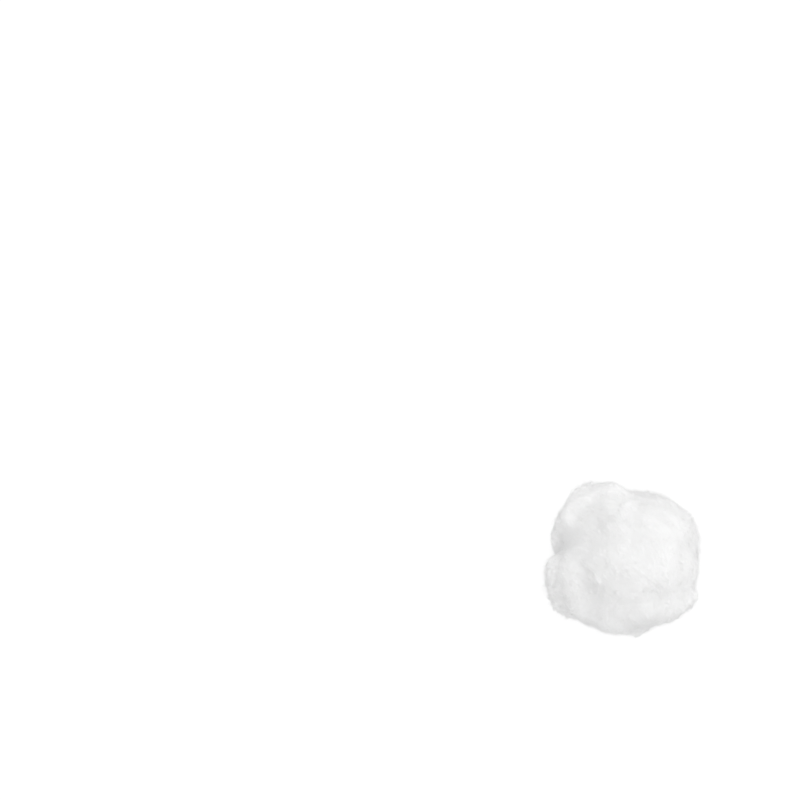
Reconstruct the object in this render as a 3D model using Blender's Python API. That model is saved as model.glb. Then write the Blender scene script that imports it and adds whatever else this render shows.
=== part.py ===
"""Jumbo cotton ball: one wad of loose cotton, lying on the small flat that its own weight presses.

Metres, +Z up. The origin is on the table, under the middle of the ball. Seen from above, +X is to
the right and +Y is up the page.
"""

import math
from collections import namedtuple

import bmesh
import bpy
from mathutils import Matrix, Vector

# The plain wad that every puff grows out of
WAD_RADIUS = 0.0209
WAD_HEIGHT = 0.0425
FLAT_SPOT_RADIUS = 0.0095

# Loose cotton rounds off each crease and leaves the surface lumpy
CREASE_PASSES = 9
CREASE_SHARE = 0.5
LUMP_SIZE = 0.0075
LUMP_DEPTH = 0.0012

# How finely the round shapes are drawn. The skin has so many steps to the wad's radius, and is
# then thinned to a share of its faces, so that their number stays the same at any size.
WAD_ROUNDNESS = 5
PUFF_ROUNDNESS = 4
SKIN_STEPS = 22
SKIN_KEPT = 0.35

# The block that presses the flat spot is wider and deeper than the ball by this many times
BLOCK_MARGIN = 8

COTTON_COLOUR = (0.93, 0.93, 0.925, 1.0)
COTTON_ROUGHNESS = 1.0

# Half the width and half the length of each size of puff
BROAD_WIDTH = 0.0125
BROAD_LENGTH = 0.0165
FULL_WIDTH = 0.0100
FULL_LENGTH = 0.0155
SLIM_WIDTH = 0.0078
SLIM_LENGTH = 0.0140
TUFT_WIDTH = 0.0044
TUFT_LENGTH = 0.0085
TIP_WIDTH = 0.0018
TIP_LENGTH = 0.0028

Size = namedtuple("Size", "half_width half_length")
BROAD = Size(BROAD_WIDTH, BROAD_LENGTH)
FULL = Size(FULL_WIDTH, FULL_LENGTH)
SLIM = Size(SLIM_WIDTH, SLIM_LENGTH)
TUFT = Size(TUFT_WIDTH, TUFT_LENGTH)
TIP = Size(TIP_WIDTH, TIP_LENGTH)

# A puff is one folded-over lobe of cotton. Its azimuth and elevation say where it points, and its
# lay how far its long way leans from upright, in degrees. It stands out of the wad by a share of
# its half width.
Puff = namedtuple("Puff", "azimuth elevation lay size proud_share")

# The lobes that draw the outline from above, anticlockwise from the right
SIDE_PUFFS = {
    "right_side": Puff(1, -4, 20, BROAD, 0.12),
    "upper_right_lobe": Puff(35, -2, -25, BROAD, 0.26),
    "top_right": Puff(55, -8, 10, FULL, 0.31),
    "top_dip": Puff(78, -2, 0, FULL, 0.20),
    "top_left_root": Puff(127, -2, 55, FULL, 0.42),
    "top_left_lobe": Puff(118, -5, 40, SLIM, 0.80),
    "top_left_corner": Puff(125, -8, -40, SLIM, 0.98),
    "upper_left_lobe": Puff(145, -6, 50, SLIM, 0.84),
    "left_side": Puff(172, -4, -60, SLIM, 0.20),
    "lower_left_root": Puff(205, -4, 55, FULL, 0.40),
    "lower_left_lobe": Puff(202, -6, 45, SLIM, 0.96),
    "lower_left_wisp": Puff(212, -8, 45, TUFT, 1.62),
    "bottom_left": Puff(243, -3, -20, FULL, 0.36),
    "tail_root": Puff(271, -5, 25, SLIM, 0.22),
    "tail": Puff(276, -6, 60, TUFT, 0.58),
    "tail_tip": Puff(277, -6, 70, TIP, 2.10),
    "bottom_right": Puff(297, -4, -30, FULL, 0.13),
    "lower_right_corner": Puff(323, -7, 25, FULL, 0.30),
    "right_nib": Puff(329, -7, -10, TUFT, 0.80),
}

# The broad swells over the top and down the left flank, with a soft valley between them
CROWN_PUFFS = {
    "bright_mass": Puff(38, 54, 60, BROAD, 0.12),
    "top_swell": Puff(98, 48, -40, FULL, 0.09),
    "right_ridge": Puff(4, 40, -30, SLIM, 0.15),
    "lower_swell": Puff(283, 36, 70, BROAD, 0.10),
    "lower_left_swell": Puff(206, 18, 65, FULL, 0.42),
    "left_flank": Puff(164, 30, 75, FULL, 0.17),
    "top_left_shoulder": Puff(124, 24, 60, FULL, 0.30),
}

# The folds tucked under, which the ball lies on
UNDER_PUFFS = {
    "right_fold": Puff(12, -38, 70, FULL, 0.18),
    "back_fold": Puff(80, -36, 60, FULL, 0.21),
    "left_fold": Puff(150, -40, -60, SLIM, 0.22),
    "tucked_end": Puff(214, -40, 45, SLIM, 0.20),
    "front_fold": Puff(292, -37, -65, FULL, 0.22),
}


def remove_everything():
    for old in list(bpy.data.objects):
        bpy.data.objects.remove(old, do_unlink=True)


def cotton_material():
    material = bpy.data.materials.new("cotton")
    material.use_nodes = True
    shader = material.node_tree.nodes["Principled BSDF"]
    shader.inputs["Base Color"].default_value = COTTON_COLOUR
    shader.inputs["Roughness"].default_value = COTTON_ROUGHNESS
    shader.inputs["Metallic"].default_value = 0.0
    return material


def wad_half_height():
    """Half the height of the whole ellipsoid that is cut off where it is FLAT_SPOT_RADIUS wide."""
    share_below_centre = math.sqrt(1 - (FLAT_SPOT_RADIUS / WAD_RADIUS) ** 2)
    return WAD_HEIGHT / (1 + share_below_centre)


def wad_centre():
    return Vector((0, 0, WAD_HEIGHT - wad_half_height()))


def wad_reach(direction):
    """How far the plain wad goes from its centre in a direction."""
    across = math.hypot(direction.x, direction.y) / WAD_RADIUS
    upward = direction.z / wad_half_height()
    return 1 / math.hypot(across, upward)


def add_plain_wad(bm):
    stretch = Matrix.Diagonal((WAD_RADIUS, WAD_RADIUS, wad_half_height(), 1))
    place = Matrix.Translation(wad_centre()) @ stretch
    bmesh.ops.create_icosphere(bm, subdivisions=WAD_ROUNDNESS, radius=1, matrix=place)


def puff_axes(puff):
    """The puff's outward, crosswise and lengthwise directions, as the columns of a matrix."""
    turn = Matrix.Rotation(math.radians(puff.azimuth), 3, "Z")
    tip = Matrix.Rotation(-math.radians(puff.elevation), 3, "Y")
    lean = Matrix.Rotation(math.radians(puff.lay), 3, "X")
    return turn @ tip @ lean


def add_puff(bm, puff):
    axes = puff_axes(puff)
    outward = axes.col[0]
    half_width, half_length = puff.size
    proud = half_width * puff.proud_share
    centre = wad_centre() + outward * (wad_reach(outward) + proud - half_width)
    shape = Matrix.Diagonal((half_width, half_width, half_length, 1))
    place = Matrix.Translation(centre) @ axes.to_4x4() @ shape
    bmesh.ops.create_icosphere(bm, subdivisions=PUFF_ROUNDNESS, radius=1, matrix=place)


def overlapping_puffs():
    """One mesh with the wad and all its puffs still running through each other."""
    bm = bmesh.new()
    add_plain_wad(bm)
    for group in (SIDE_PUFFS, CROWN_PUFFS, UNDER_PUFFS):
        for puff in group.values():
            add_puff(bm, puff)
    mesh = bpy.data.meshes.new("cotton_ball")
    bm.to_mesh(mesh)
    bm.free()
    return mesh


def table_block():
    """The block below the table's surface, which trims the ball to its flat spot."""
    size = BLOCK_MARGIN * max(WAD_RADIUS, WAD_HEIGHT)
    bm = bmesh.new()
    bmesh.ops.create_cube(bm, size=size, matrix=Matrix.Translation((0, 0, -size / 2)))
    mesh = bpy.data.meshes.new("table_block")
    bm.to_mesh(mesh)
    bm.free()
    block = bpy.data.objects.new("table_block", mesh)
    bpy.context.collection.objects.link(block)
    block.hide_render = True
    block.display_type = "WIRE"
    return block


def blend_puffs(ball):
    """Draws one skin round all the puffs and softens the creases between them."""
    skin = ball.modifiers.new("skin", "REMESH")
    skin.mode = "VOXEL"
    skin.voxel_size = WAD_RADIUS / SKIN_STEPS
    soften = ball.modifiers.new("soften", "SMOOTH")
    soften.factor = CREASE_SHARE
    soften.iterations = CREASE_PASSES


def make_lumpy(ball):
    clouds = bpy.data.textures.new("loose_cotton", "CLOUDS")
    clouds.noise_scale = LUMP_SIZE
    clouds.noise_depth = 1
    lumps = ball.modifiers.new("lumps", "DISPLACE")
    lumps.texture = clouds
    lumps.texture_coords = "LOCAL"
    lumps.strength = LUMP_DEPTH
    lumps.mid_level = 0.5


def thin_skin(ball):
    thin = ball.modifiers.new("thin", "DECIMATE")
    thin.ratio = SKIN_KEPT
    thin.use_collapse_triangulate = True


def press_flat(ball, block):
    press = ball.modifiers.new("press", "BOOLEAN")
    press.operation = "DIFFERENCE"
    press.solver = "EXACT"
    press.object = block


def centre_over_origin(ball):
    """Moves the ball sideways until its box is centred on the Z axis."""
    bpy.context.view_layer.update()
    shaped = ball.evaluated_get(bpy.context.evaluated_depsgraph_get())
    corners = [Vector(corner) for corner in shaped.bound_box]
    for axis in (0, 1):
        values = [corner[axis] for corner in corners]
        ball.location[axis] = -(min(values) + max(values)) / 2


def make_cotton_ball():
    mesh = overlapping_puffs()
    ball = bpy.data.objects.new("cotton_ball", mesh)
    bpy.context.collection.objects.link(ball)
    mesh.materials.append(cotton_material())
    blend_puffs(ball)
    make_lumpy(ball)
    thin_skin(ball)
    press_flat(ball, table_block())
    centre_over_origin(ball)


def main():
    remove_everything()
    make_cotton_ball()


main()
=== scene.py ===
"""Looks of the cotton ball: a soft combed wad, and the loose fibres that cover it.

Metres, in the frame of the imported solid: +Z is up and the ball lies on z = 0. Seen from above, +X
is to the right of the photograph and +Y is up the page.
"""

import math
from collections import namedtuple

import bpy
import numpy as np
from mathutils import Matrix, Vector, noise
from mathutils.bvhtree import BVHTree


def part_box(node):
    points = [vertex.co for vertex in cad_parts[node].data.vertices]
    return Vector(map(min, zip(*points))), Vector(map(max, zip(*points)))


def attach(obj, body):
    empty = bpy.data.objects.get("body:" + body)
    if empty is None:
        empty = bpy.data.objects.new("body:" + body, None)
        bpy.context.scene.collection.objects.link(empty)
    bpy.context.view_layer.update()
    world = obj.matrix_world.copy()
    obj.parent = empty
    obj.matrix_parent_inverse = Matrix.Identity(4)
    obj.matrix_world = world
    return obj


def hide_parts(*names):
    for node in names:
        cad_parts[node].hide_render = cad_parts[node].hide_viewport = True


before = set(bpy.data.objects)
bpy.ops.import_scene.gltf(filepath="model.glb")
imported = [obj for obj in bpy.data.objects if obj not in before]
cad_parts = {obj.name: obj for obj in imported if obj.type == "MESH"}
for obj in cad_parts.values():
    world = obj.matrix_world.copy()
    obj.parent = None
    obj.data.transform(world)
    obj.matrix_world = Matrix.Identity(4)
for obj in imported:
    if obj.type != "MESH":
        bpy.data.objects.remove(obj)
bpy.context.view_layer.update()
bpy.ops.object.select_all(action="DESELECT")

MM = 0.001
BALL_LOW, BALL_HIGH = (Vector(corner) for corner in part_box("cotton_ball"))
BALL_MIDDLE = (BALL_LOW + BALL_HIGH) / 2

# Without a seed, the noise that steers the combing would differ from run to run
NOISE_SEED = 3
noise.seed_set(NOISE_SEED)

# The photograph's framing, with its size and places in it in its own pixels, and a long lens that
# looks almost straight down all over the picture
PHOTO_PIXELS = 800
BALL_PIXELS = 158
BALL_MIDDLE_PIXEL = (621.5, 560)
BALL_WIDTH = 50 * MM
LENS_MM = 250
SENSOR_MM = 36
FARTHEST_SEEN = 10

# The dense wad is the solid drawn in finer steps, softened, filled in its creases and drawn in a
# little. The fibres fill up the rest.
WAD_STEP = 0.37 * MM
WAD_MERGE = 0.001 * MM
SOFTENING_PASSES = 24
CREASE_PASSES = 300
WAD_INSET = 0.6 * MM

# Cotton is combed round the axis on which the ball was rolled, and strays from it in swirls
ROLL_AXIS = Vector((-0.75, -0.45, 0.35)).normalized()
SWIRL_SIZE = 9 * MM
SWIRL_SHARE = 1.2

# The relief that the combing leaves in the wad: swells, strands and small knots
SWELL_SIZE = 4.5 * MM
SWELL_HEIGHT = 0.25 * MM
STRAND_WIDTH = 0.9 * MM
STRAND_RUN = 2.0 * MM
STRAND_HEIGHT = 0.40 * MM
KNOT_WIDTH = 0.9 * MM
KNOT_HEIGHT = 0.36 * MM
AVERAGING_STEPS = (-1.0, -0.66, -0.33, 0.0, 0.33, 0.66, 1.0)

# The cotton is looser in some patches and tighter in others, by chance: how wide the patches are,
# and by about what share they differ
LOOSE_PATCH_SIZE = 5 * MM
LOOSE_PATCH_SHARE = 0.55

# Where the ball's edge is torn, frayed or drawn in: the direction from its middle and how wide the
# place is, in degrees, how much looser the cotton is there, as a share of what is usual, and how far
# the wad itself stands out
Place = namedtuple("Place", "azimuth elevation width gain swell")
PLACES = {
    "lower_left_lobe": Place(197, -4, 13, 2.0, -0.9 * MM),
    "lower_left_edge": Place(221, -6, 6, 2.4, 0.4 * MM),
    "top_left_corner": Place(117, -6, 10, 1.5, 0.4 * MM),
    "upper_left_edge": Place(149, -4, 6, 1.2, 0.6 * MM),
    "left_hollow": Place(160, -4, 7, 0.0, -0.6 * MM),
    "tail": Place(277, -6, 4, 0.6, -0.8 * MM),
    "bottom_edge": Place(257, -4, 12, 0.7, -1.3 * MM),
    "lower_right_edge": Place(304, -4, 12, 0.8, -0.2 * MM),
    "right_nib": Place(331, -5, 7, 1.1, 0.6 * MM),
    "right_edge": Place(5, -3, 13, 1.0, -0.2 * MM),
    "upper_right_edge": Place(34, -2, 13, 1.3, 0.2 * MM),
    "top_right_edge": Place(66, -2, 14, 1.3, 0.1 * MM),
}

# A kind of fibre grows in so many locks, and each fibre is drawn through so many knots. The lengths
# run from the shortest to the longest, the rise is how far the highest stand out where the cotton is
# as loose as usual, and a free fibre has one end in the air. Stray is about how far a lock leans from
# the combing, in radians, and bend about how much it curves in each millimetre. Fibres start about
# as far off their lock's own spot as the spread. A lock is one fibre unless the kind says how many
# each has, and these gather by a share of the way towards their tips. Length, rise, spread and
# thickness are in millimetres.
Kind = namedtuple(
    "Kind", "locks knots length rise free stray bend spread thickness seed each gather",
    defaults=(1, 0.0),
)
FIBRES = {
    "lying_fibres": Kind(
        locks=8200, knots=6, length=(3.0, 6.0), rise=0.5, free=False,
        stray=0.7, bend=0.25, spread=0.35, thickness=0.036, seed=11,
    ),
    "crossing_fibres": Kind(
        locks=8200, knots=6, length=(2.5, 5.0), rise=0.8, free=False,
        stray=1.5, bend=0.45, spread=0.35, thickness=0.034, seed=12,
    ),
    "curling_fibres": Kind(
        locks=6500, knots=7, length=(2.5, 5.0), rise=1.6, free=True,
        stray=2.2, bend=0.75, spread=0.30, thickness=0.032, seed=13,
    ),
    "tufts": Kind(
        locks=5200, knots=4, length=(0.9, 2.0), rise=1.2, free=True,
        stray=3.0, bend=0.60, spread=0.16, thickness=0.042, seed=14,
        each=3, gather=0.5,
    ),
    "stray_fibres": Kind(
        locks=2000, knots=8, length=(3.0, 7.0), rise=2.2, free=True,
        stray=3.0, bend=0.80, spread=0.30, thickness=0.036, seed=15,
    ),
}

# A fibre is a thin tube of three sides. It starts this deep in the wad, and never comes nearer to the
# table than the gap.
SIDES = 3
ROOT_DEPTH = 0.10 * MM
TABLE_GAP = 0.03 * MM

# Locks are set out on an evenly spaced spiral, and each is moved off it a little by chance
GOLDEN_TURN = math.pi * (3 - math.sqrt(5))
SCATTER_JITTER = 1.2

# No two fibres are alike. Each turns from its lock, and again at every knot, by about so many
# radians. Its length and rise, its thickness and how much it thins towards its tip are shares.
HEADING_JITTER = 0.18
KNOT_JITTER = 0.22
LENGTH_JITTER = 0.25
THINNEST, THICKEST = 0.7, 1.25
TIP_TAPER = 0.45

# Few fibres stand as high as the highest, a free end lifts off late, and none rises by more than a
# share of its length
LOW_LYING_POWER = 1.6
FREE_END_POWER = 1.4
STEEPEST_SHARE = 0.8

# The wad's finish: matted lines of three sizes, clumps that differ a little in grey and dullness,
# and how deep light sinks in
LINE_SIZES = (1.9 * MM, 1.2 * MM, 0.8 * MM)
LINE_SHIFT = (0.31, 0.17, 0.23)
LINE_DETAIL = 1.5
LINE_TWIST = 0.9
LINE_SHARPNESS = 16
LINE_STRENGTH = 0.5
LINE_HEIGHT = 0.05 * MM
CLUMP_SIZE = 3 * MM
CLUMP_GREYS = (0.96, 0.98)
CLUMP_ROUGHNESS = (0.88, 0.98)
GLOW_DEPTH = 4.5 * MM

# The fibres' finish: each has a shade of its own, and varies along its length
SHADE_SHARE = 0.7
FIBRE_PATCH_SIZE = 0.9 * MM
FIBRE_GREYS = (0.965, 0.985)
FIBRE_ROUGHNESS = (0.84, 0.96)

# Each fibre's patch on the baking map keeps this share of its cell free on every side
PATCH_MARGIN = 0.1

# To the camera the floor is mostly its own white, and the rest of it shows light and shadow
FLOOR_WIDTH = 8
FLOOR_GREY = 0.8
FLOOR_WHITE_SHARE = 0.76
FLOOR_WHITE = 1.12

# The room is even all round and brighter overhead, and the lamp is a soft disk at the upper right
ROOM_LIGHT = 0.72
OVERHEAD_LIGHT = 0.46
LAMP_WAY = Vector((0.47, 0.44, 0.77)).normalized()
LAMP_DISTANCE = 0.9
LAMP_WIDTH = 0.5
LAMP_WATTS = 1.5


class Socket:
    """An output of a node, on which Python sums add Math nodes."""

    def __init__(self, shading, output):
        self.shading = shading
        self.output = output

    def __add__(self, other):
        return self.shading.maths("ADD", self, other)

    def __radd__(self, other):
        return self.shading.maths("ADD", other, self)

    def __sub__(self, other):
        return self.shading.maths("SUBTRACT", self, other)

    def __rsub__(self, other):
        return self.shading.maths("SUBTRACT", other, self)

    def __mul__(self, other):
        return self.shading.maths("MULTIPLY", self, other)

    def __rmul__(self, other):
        return self.shading.maths("MULTIPLY", other, self)

    def __abs__(self):
        return self.shading.maths("ABSOLUTE", self)


class Shading:
    """The node tree of one material or of the world."""

    def __init__(self, owner):
        owner.use_nodes = True
        self.tree = owner.node_tree
        self.tree.nodes.clear()

    def node(self, kind, settings=None, inputs=None, output=0):
        made = self.tree.nodes.new(kind)
        for name, value in (settings or {}).items():
            setattr(made, name, value)
        for key, value in (inputs or {}).items():
            if isinstance(value, Socket):
                self.tree.links.new(value.output, made.inputs[key])
            else:
                made.inputs[key].default_value = value
        return Socket(self, made.outputs[output]) if made.outputs else made

    def maths(self, operation, *values):
        return self.node("ShaderNodeMath", {"operation": operation}, dict(enumerate(values)))

    def place(self):
        """The place on the object, in metres."""
        return self.node("ShaderNodeTexCoord", output="Object")

    def noise(self, place, size, detail=2.0, distortion=0.0):
        inputs = {"Vector": place, "Scale": 1 / size, "Detail": detail, "Distortion": distortion}
        return self.node("ShaderNodeTexNoise", {"noise_dimensions": "3D"}, inputs)

    def mix_greys(self, share, first, second):
        """The first grey where share is 0, and the second where it is 1."""
        inputs = {0: share, 6: grey(first), 7: grey(second)}
        return self.node("ShaderNodeMix", {"data_type": "RGBA"}, inputs, output=2)

    def seen(self):
        """1 for what the camera, a reflection or a view through glass sees, and 0 for other light."""
        camera, glossy, through = (
            self.node("ShaderNodeLightPath", output=ray)
            for ray in ("Is Camera Ray", "Is Glossy Ray", "Is Transmission Ray")
        )
        return self.maths("MINIMUM", camera + glossy + through, 1.0)


def grey(value):
    return (value, value, value, 1.0)


def between(share, low, high):
    """The low value where share is 0, and the high one where it is 1."""
    return share * (high - low) + low


def new_material(name):
    material = bpy.data.materials.new(name)
    return material, Shading(material)


def finish_cotton(shading, inputs):
    """The shader of every cotton surface, which is dull with a faint sheen."""
    dull = {
        "Metallic": 0.0,
        "Specular IOR Level": 0.08,
        "Sheen Weight": 0.06,
        "Sheen Roughness": 0.6,
    }
    shader = shading.node("ShaderNodeBsdfPrincipled", {}, {**dull, **inputs})
    shading.node("ShaderNodeOutputMaterial", {}, {"Surface": shader})


def matted_lines(shading, size, order):
    """Thin curved lines where a twisted noise crosses its middle value, like matted fibres."""
    shift = tuple(order * step for step in LINE_SHIFT)
    moved = shading.node("ShaderNodeMapping", {}, {"Vector": shading.place(), "Location": shift})
    wave = shading.noise(moved, size, LINE_DETAIL, LINE_TWIST)
    return shading.maths("MAXIMUM", 1 - abs(wave - 0.5) * LINE_SHARPNESS, 0.0)


def wad_cotton():
    """Matted cotton, in which light sinks in and glows."""
    material, shading = new_material("matted_cotton")
    coarse, middle, fine = (
        matted_lines(shading, size, order) for order, size in enumerate(LINE_SIZES)
    )
    lines = {"Strength": LINE_STRENGTH, "Distance": LINE_HEIGHT, "Height": coarse + middle + fine}
    clump = shading.noise(shading.place(), CLUMP_SIZE, detail=3.0)
    finish_cotton(shading, {
        "Base Color": shading.mix_greys(clump, *CLUMP_GREYS),
        "Roughness": between(clump, *CLUMP_ROUGHNESS),
        "Normal": shading.node("ShaderNodeBump", {}, lines),
        "Subsurface Weight": 1.0,
        "Subsurface Radius": (1.0, 1.0, 1.0),
        "Subsurface Scale": GLOW_DEPTH,
    })
    return material


def fibre_cotton():
    """Loose cotton, too thin for light to sink into."""
    material, shading = new_material("cotton_fibre")
    shade = shading.node("ShaderNodeAttribute", {"attribute_name": "shade"}, output="Fac")
    patch = shading.noise(shading.place(), FIBRE_PATCH_SIZE, detail=1.0)
    own_shade = shade * SHADE_SHARE + patch * (1 - SHADE_SHARE)
    finish_cotton(shading, {
        "Base Color": shading.mix_greys(own_shade, *FIBRE_GREYS),
        "Roughness": between(patch, *FIBRE_ROUGHNESS),
    })
    return material


def combing(point, normal):
    """The direction in which the cotton lies at a point of the surface."""
    rolled = ROLL_AXIS.cross(point - BALL_MIDDLE).normalized()
    lay = rolled + noise.noise_vector(point / SWIRL_SIZE) * SWIRL_SHARE
    return (lay - normal * lay.dot(normal)).normalized()


def strands(point, along):
    """Noise averaged along the combing, which leaves strands that are long and narrow."""
    run = along * STRAND_RUN
    total = sum(noise.noise((point + run * step) / STRAND_WIDTH) for step in AVERAGING_STEPS)
    return total / math.sqrt(len(AVERAGING_STEPS))


def relief(point, normal):
    """How high the combed surface stands at a point: its hollows are broad, its crests narrow."""
    swell = noise.noise(point / SWELL_SIZE) * SWELL_HEIGHT
    strand = max(strands(point, combing(point, normal)), 0.0) * STRAND_HEIGHT
    knot = max(noise.noise(point / KNOT_WIDTH), 0.0) * KNOT_HEIGHT
    return swell + strand + knot


def nearness(spots, place):
    """How near each spot is to the place: 1 in its middle, and fading to 0 around it."""
    azimuth, elevation = math.radians(place.azimuth), math.radians(place.elevation)
    across = math.cos(elevation)
    middle = (math.cos(azimuth) * across, math.sin(azimuth) * across, math.sin(elevation))
    outward = unit(spots - np.array(BALL_MIDDLE))
    angle = np.degrees(np.arccos(np.clip(outward @ np.array(middle), -1, 1)))
    return np.exp(-((angle / place.width) ** 2))


def looseness(spots):
    """How far the cotton stands up at each spot, as a share of what is usual."""
    patches = [noise.noise(Vector(spot) / LOOSE_PATCH_SIZE) for spot in spots]
    loose = np.exp(np.array(patches) * LOOSE_PATCH_SHARE)
    for place in PLACES.values():
        loose *= 1 + place.gain * nearness(spots, place)
    return loose


def swelling(spots):
    """How far the wad itself stands out at each spot."""
    return sum(place.swell * nearness(spots, place) for place in PLACES.values())


def apply_modifiers(piece):
    bpy.context.view_layer.objects.active = piece
    for modifier in list(piece.modifiers):
        bpy.ops.object.modifier_apply(modifier=modifier.name)


def corners_of(mesh):
    corners = np.empty(len(mesh.vertices) * 3)
    mesh.vertices.foreach_get("co", corners)
    return corners.reshape(-1, 3)


def normals_of(mesh):
    normals = np.empty(len(mesh.vertices) * 3)
    mesh.vertex_normals.foreach_get("vector", normals)
    return normals.reshape(-1, 3)


def move_corners(mesh, corners):
    mesh.vertices.foreach_set("co", corners.ravel())
    mesh.update()


def draw_finer(wad):
    """Joins the solid's loose triangles and draws its form again in small even faces."""
    bpy.ops.object.mode_set(mode="EDIT")
    bpy.ops.mesh.select_all(action="SELECT")
    bpy.ops.mesh.remove_doubles(threshold=WAD_MERGE)
    bpy.ops.object.mode_set(mode="OBJECT")
    finer = wad.modifiers.new("finer", "REMESH")
    finer.mode = "VOXEL"
    finer.voxel_size = WAD_STEP
    apply_modifiers(wad)


def smooth(piece, passes):
    soften = piece.modifiers.new("soften", "SMOOTH")
    soften.iterations = passes
    apply_modifiers(piece)


def fill_creases(wad):
    """Raises each crease between lobes to where heavy smoothing would, and lowers nothing."""
    corners, normals = corners_of(wad.data), normals_of(wad.data)
    smooth(wad, CREASE_PASSES)
    rise = np.sum((corners_of(wad.data) - corners) * normals, axis=1)
    corners += normals * np.maximum(rise, 0)[:, None]
    move_corners(wad.data, corners)


def comb(wad):
    """Draws the wad in a little and gives it its relief, which is deeper where the cotton is loose."""
    corners, normals = corners_of(wad.data), normals_of(wad.data)
    heights = [relief(Vector(corner), Vector(normal)) for corner, normal in zip(corners, normals)]
    inset = WAD_INSET * (1 + np.minimum(normals[:, 2], 0))
    offset = heights * looseness(corners) + swelling(corners) - inset
    corners += normals * offset[:, None]
    corners[:, 2] = np.maximum(corners[:, 2], 0)
    move_corners(wad.data, corners)


def model_wad():
    """The wad: the solid's own form, drawn finer, softened, drawn in and combed into relief."""
    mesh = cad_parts["cotton_ball"].data.copy()
    mesh.materials.clear()
    wad = bpy.data.objects.new("cotton_wad", mesh)
    bpy.context.collection.objects.link(wad)
    wad.select_set(True)
    bpy.context.view_layer.objects.active = wad
    draw_finer(wad)
    smooth(wad, SOFTENING_PASSES)
    fill_creases(wad)
    comb(wad)
    bpy.ops.object.shade_smooth()
    wad.data.materials.append(wad_cotton())
    return wad


class Skin:
    """The wad's surface, on which fibres are laid."""

    def __init__(self, wad):
        faces = [polygon.vertices[:] for polygon in wad.data.polygons]
        self.tree = BVHTree.FromPolygons(corners_of(wad.data).tolist(), faces)

    def scatter(self, count, rng):
        """Points spread evenly over the skin, clear of the flat spot."""
        order = np.arange(count)
        height = 1 - (2 * order + 1) / count
        around = order * GOLDEN_TURN
        across = np.sqrt(1 - height ** 2)
        ways = np.stack((across * np.cos(around), across * np.sin(around), height), axis=1)
        ways += rng.normal(0, SCATTER_JITTER / math.sqrt(count), ways.shape)
        hits = [self.tree.ray_cast(BALL_MIDDLE, way)[0] for way in ways.tolist()]
        return np.array([hit for hit in hits if hit.z > ROOT_DEPTH])

    def nearest(self, points):
        """The skin's nearest point to each point, and its normal there."""
        found = [self.tree.find_nearest(point) for point in points.tolist()]
        return np.array([hit[0] for hit in found]), np.array([hit[1] for hit in found])


def unit(vectors):
    """Each vector one unit long, or left at nothing if it has no length."""
    return vectors / np.maximum(np.linalg.norm(vectors, axis=-1, keepdims=True), 1e-12)


def turned(vectors, axes, angles):
    """Each vector turned about its axis, to which it is at right angles."""
    angles = angles[:, None]
    return vectors * np.cos(angles) + np.cross(axes, vectors) * np.sin(angles)


def flattened(vectors, ups):
    """Each vector laid in the plane across its up direction, one unit long."""
    return unit(vectors - ups * np.sum(vectors * ups, axis=1, keepdims=True))


def height_share(kind, share):
    """How high a fibre is after a share of its length: a free end stands up, a loop comes back."""
    return share ** FREE_END_POWER if kind.free else math.sin(math.pi * share)


def grow(skin, kind, wanted, rng):
    """A row of points for each fibre, and the direction across the fibre at each point."""
    spots, ups = skin.nearest(skin.scatter(wanted, rng))
    locks = len(spots)
    lay = [combing(Vector(spot), Vector(up)) for spot, up in zip(spots, ups)]
    heading = turned(np.array(lay), ups, rng.normal(0, kind.stray, locks))
    length = rng.uniform(*kind.length, locks) * MM
    rise = kind.rise * MM * rng.random(locks) ** LOW_LYING_POWER * looseness(spots)
    bend = rng.normal(0, kind.bend, locks) / MM

    count = locks * kind.each
    spots, ups, heading, length, rise, bend = (
        np.repeat(values, kind.each, axis=0) for values in (spots, ups, heading, length, rise, bend)
    )
    spots, ups = skin.nearest(spots + rng.normal(0, kind.spread * MM, (count, 3)))
    heading = turned(flattened(heading, ups), ups, rng.normal(0, HEADING_JITTER, count))
    length = length * rng.uniform(1 - LENGTH_JITTER, 1 + LENGTH_JITTER, count)
    rise = rise * rng.uniform(1 - LENGTH_JITTER, 1 + LENGTH_JITTER, count)
    rise = np.minimum(rise, length * STEEPEST_SHARE)

    steps = kind.knots - 1
    stride = np.sqrt(length ** 2 - rise ** 2) / steps
    rows, sides = [], []
    for knot in range(kind.knots):
        height = height_share(kind, knot / steps)
        lift = rise * height - ROOT_DEPTH * (1 - height)
        rows.append(spots + ups * lift[:, None])
        sides.append(np.cross(ups, heading))
        heading = turned(heading, ups, bend * stride + rng.normal(0, KNOT_JITTER, count))
        spots, ups = skin.nearest(spots + heading * stride[:, None])
        heading = flattened(heading, ups)
    rows = np.stack(rows, axis=1)
    gather_tips(rows, kind)
    return rows, np.stack(sides, axis=1)


def gather_tips(rows, kind):
    """Draws the fibres of each lock together, more and more towards their tips."""
    locks = rows.reshape(-1, kind.each, kind.knots, 3)
    middle = locks.mean(axis=1, keepdims=True)
    share = np.linspace(0, 1, kind.knots)[None, None, :, None]
    locks += (middle - locks) * share * kind.gather


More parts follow.
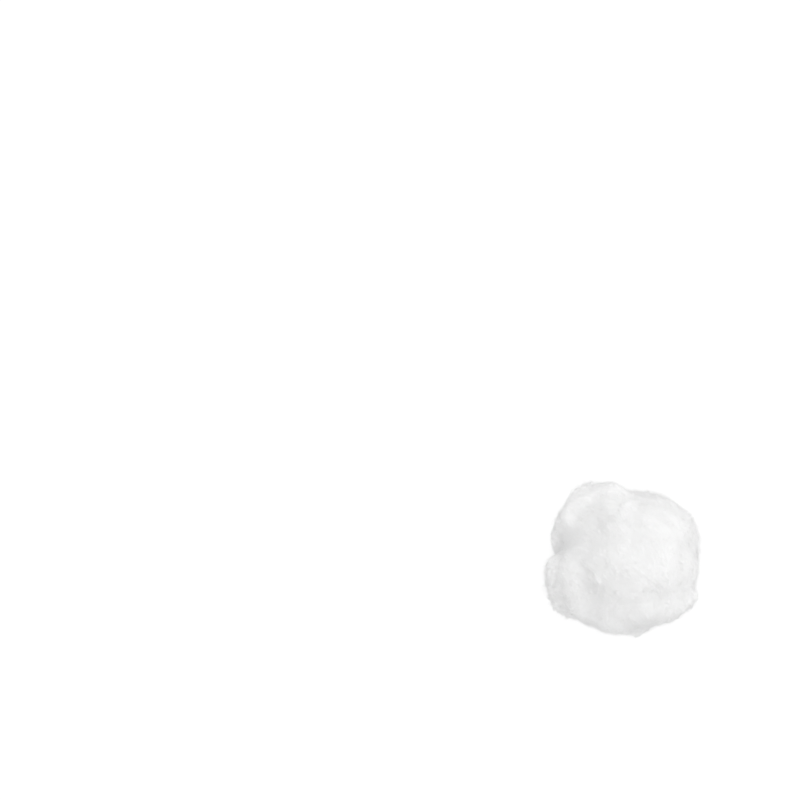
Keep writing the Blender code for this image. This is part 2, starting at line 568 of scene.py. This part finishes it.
def tube_corners(rows, sides, thickness, rng):
    """The corners of each fibre: a point at its root, a ring at each knot, a point at its tip."""
    count, knots = rows.shape[:2]
    along = unit(np.gradient(rows, axis=1))
    side = unit(sides - along * np.sum(sides * along, axis=2, keepdims=True))
    other = np.cross(along, side)
    share = np.linspace(0, 1, knots)
    radius = thickness / 2 * (1 - TIP_TAPER * share ** 2) * rng.uniform(THINNEST, THICKEST, (count, 1))
    turns = np.arange(SIDES) * 2 * math.pi / SIDES
    ring = np.stack([side * math.cos(turn) + other * math.sin(turn) for turn in turns], axis=2)
    rings = rows[:, :, None] + ring * radius[:, :, None, None]
    rings = rings[:, 1:-1].reshape(count, -1, 3)
    corners = np.concatenate((rows[:, :1], rings, rows[:, -1:]), axis=1)
    corners[..., 2] += np.maximum(TABLE_GAP - corners[..., 2].min(axis=1), 0)[:, None]
    return corners


def tube_faces(knots):
    """Triangles of one fibre, and where their corners lie on its unrolled patch."""
    rings = knots - 2
    tip = rings * SIDES + 1
    end = 1 + (rings - 1) * SIDES
    first, last = 1 / (knots - 1), rings / (knots - 1)
    faces, patch = [], []
    for side in range(SIDES):
        step = (side + 1) % SIDES
        low, high = side / SIDES, (side + 1) / SIDES
        middle = (low + high) / 2
        faces += [(0, 1 + step, 1 + side), (end + side, end + step, tip)]
        patch += [((0, middle), (first, high), (first, low)), ((last, low), (last, high), (1, middle))]
        for ring in range(rings - 1):
            near = 1 + ring * SIDES
            far = near + SIDES
            here, there = (ring + 1) / (knots - 1), (ring + 2) / (knots - 1)
            faces += [(near + side, near + step, far + step), (near + side, far + step, far + side)]
            patch += [((here, low), (here, high), (there, high)), ((here, low), (there, high), (there, low))]
    return np.array(faces), np.array(patch)


def triangle_mesh(name, corners, faces):
    mesh = bpy.data.meshes.new(name)
    mesh.vertices.add(len(corners))
    mesh.vertices.foreach_set("co", corners.ravel())
    mesh.loops.add(faces.size)
    mesh.loops.foreach_set("vertex_index", faces.ravel())
    mesh.polygons.add(len(faces))
    mesh.polygons.foreach_set("loop_start", np.arange(0, faces.size, 3))
    mesh.update(calc_edges=True)
    return mesh


def spread_patches(mesh, patch, count):
    """A map on which every fibre has a patch of its own."""
    columns = math.ceil(math.sqrt(count))
    cell = np.arange(count)
    corner = np.stack((cell % columns, cell // columns), axis=1)
    inner = patch[None] * (1 - 2 * PATCH_MARGIN)
    places = (corner[:, None, None] + PATCH_MARGIN + inner) / columns
    layer = mesh.uv_layers.new(name="OFBake")
    layer.uv.foreach_set("vector", places.ravel())


def model_fibres(name, kind, skin, material):
    """All the fibres of one kind, as one piece of thin closed tubes."""
    rng = np.random.default_rng(kind.seed)
    wanted = round(kind.locks * (1))
    rows, sides = grow(skin, kind, wanted, rng)
    corners = tube_corners(rows, sides, kind.thickness * MM, rng)
    count, corners_each = corners.shape[:2]
    faces, patch = tube_faces(kind.knots)
    starts = np.arange(count) * corners_each
    all_faces = (starts[:, None, None] + faces[None]).reshape(-1, 3)
    mesh = triangle_mesh(name, corners.reshape(-1, 3), all_faces)
    spread_patches(mesh, patch, count)
    shade = mesh.attributes.new("shade", "FLOAT", "POINT")
    shade.data.foreach_set("value", np.repeat(rng.random(count), corners_each))
    mesh.materials.append(material)
    fibres = bpy.data.objects.new(name, mesh)
    bpy.context.collection.objects.link(fibres)
    return fibres


def make_floor():
    """A pale floor that is nearly white to the camera and still shows the ball's shadow."""
    bpy.ops.mesh.primitive_plane_add(size=FLOOR_WIDTH)
    floor = bpy.context.object
    floor.name = "floor"
    material, shading = new_material("pale_floor")
    lit = shading.node("ShaderNodeBsdfDiffuse", {}, {"Color": grey(FLOOR_GREY)})
    white = shading.node("ShaderNodeEmission", {}, {"Strength": FLOOR_WHITE})
    share = shading.seen() * FLOOR_WHITE_SHARE
    mixed = shading.node("ShaderNodeMixShader", {}, {0: share, 1: lit, 2: white})
    shading.node("ShaderNodeOutputMaterial", {}, {"Surface": mixed})
    floor.data.materials.append(material)
    return floor


def light_the_room():
    """Even light from all round that is stronger overhead. Seen directly, the room is white."""
    world = bpy.data.worlds.new("studio")
    bpy.context.scene.world = world
    shading = Shading(world)
    way = shading.node("ShaderNodeTexCoord", output="Generated")
    height = shading.node("ShaderNodeSeparateXYZ", {}, {0: way}, output="Z")
    light = shading.maths("MAXIMUM", height, 0.0) * OVERHEAD_LIGHT + ROOM_LIGHT
    seen = shading.seen()
    strength = light * (1 - seen) + seen
    room = shading.node("ShaderNodeBackground", {}, {"Color": grey(1.0), "Strength": strength})
    shading.node("ShaderNodeOutputWorld", {}, {"Surface": room})


def hang_lamp():
    """One soft lamp, high and at the upper right of the photograph."""
    bpy.ops.object.light_add(type="AREA", location=BALL_MIDDLE + LAMP_WAY * LAMP_DISTANCE)
    lamp = bpy.context.object
    lamp.rotation_euler = LAMP_WAY.to_track_quat("Z", "Y").to_euler()
    lamp.data.shape = "DISK"
    lamp.data.size = LAMP_WIDTH
    lamp.data.energy = LAMP_WATTS
    lamp.visible_camera = False


def place_camera():
    """Looks straight down, with the ball as large and as far from the middle as in the photograph."""
    metres_per_pixel = BALL_WIDTH / BALL_PIXELS
    right = (BALL_MIDDLE_PIXEL[0] - PHOTO_PIXELS / 2) * metres_per_pixel
    down = (BALL_MIDDLE_PIXEL[1] - PHOTO_PIXELS / 2) * metres_per_pixel
    distance = PHOTO_PIXELS * metres_per_pixel * LENS_MM / SENSOR_MM
    spot = BALL_MIDDLE + Vector((-right, down, distance))
    bpy.ops.object.camera_add(location=spot, rotation=(0, 0, 0))
    camera = bpy.context.object
    camera.data.lens = LENS_MM
    camera.data.sensor_width = SENSOR_MM
    camera.data.clip_end = FARTHEST_SEEN
    bpy.context.scene.camera = camera


wad = model_wad()
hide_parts("cotton_ball")
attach(wad, "root")

skin = Skin(wad)
fibre_material = fibre_cotton()
for name, kind in FIBRES.items():
    fibres = model_fibres(name, kind, skin, fibre_material)
    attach(fibres, "root")

make_floor()
light_the_room()
hang_lamp()
place_camera()
bpy.context.scene.view_settings.view_transform = "Standard"
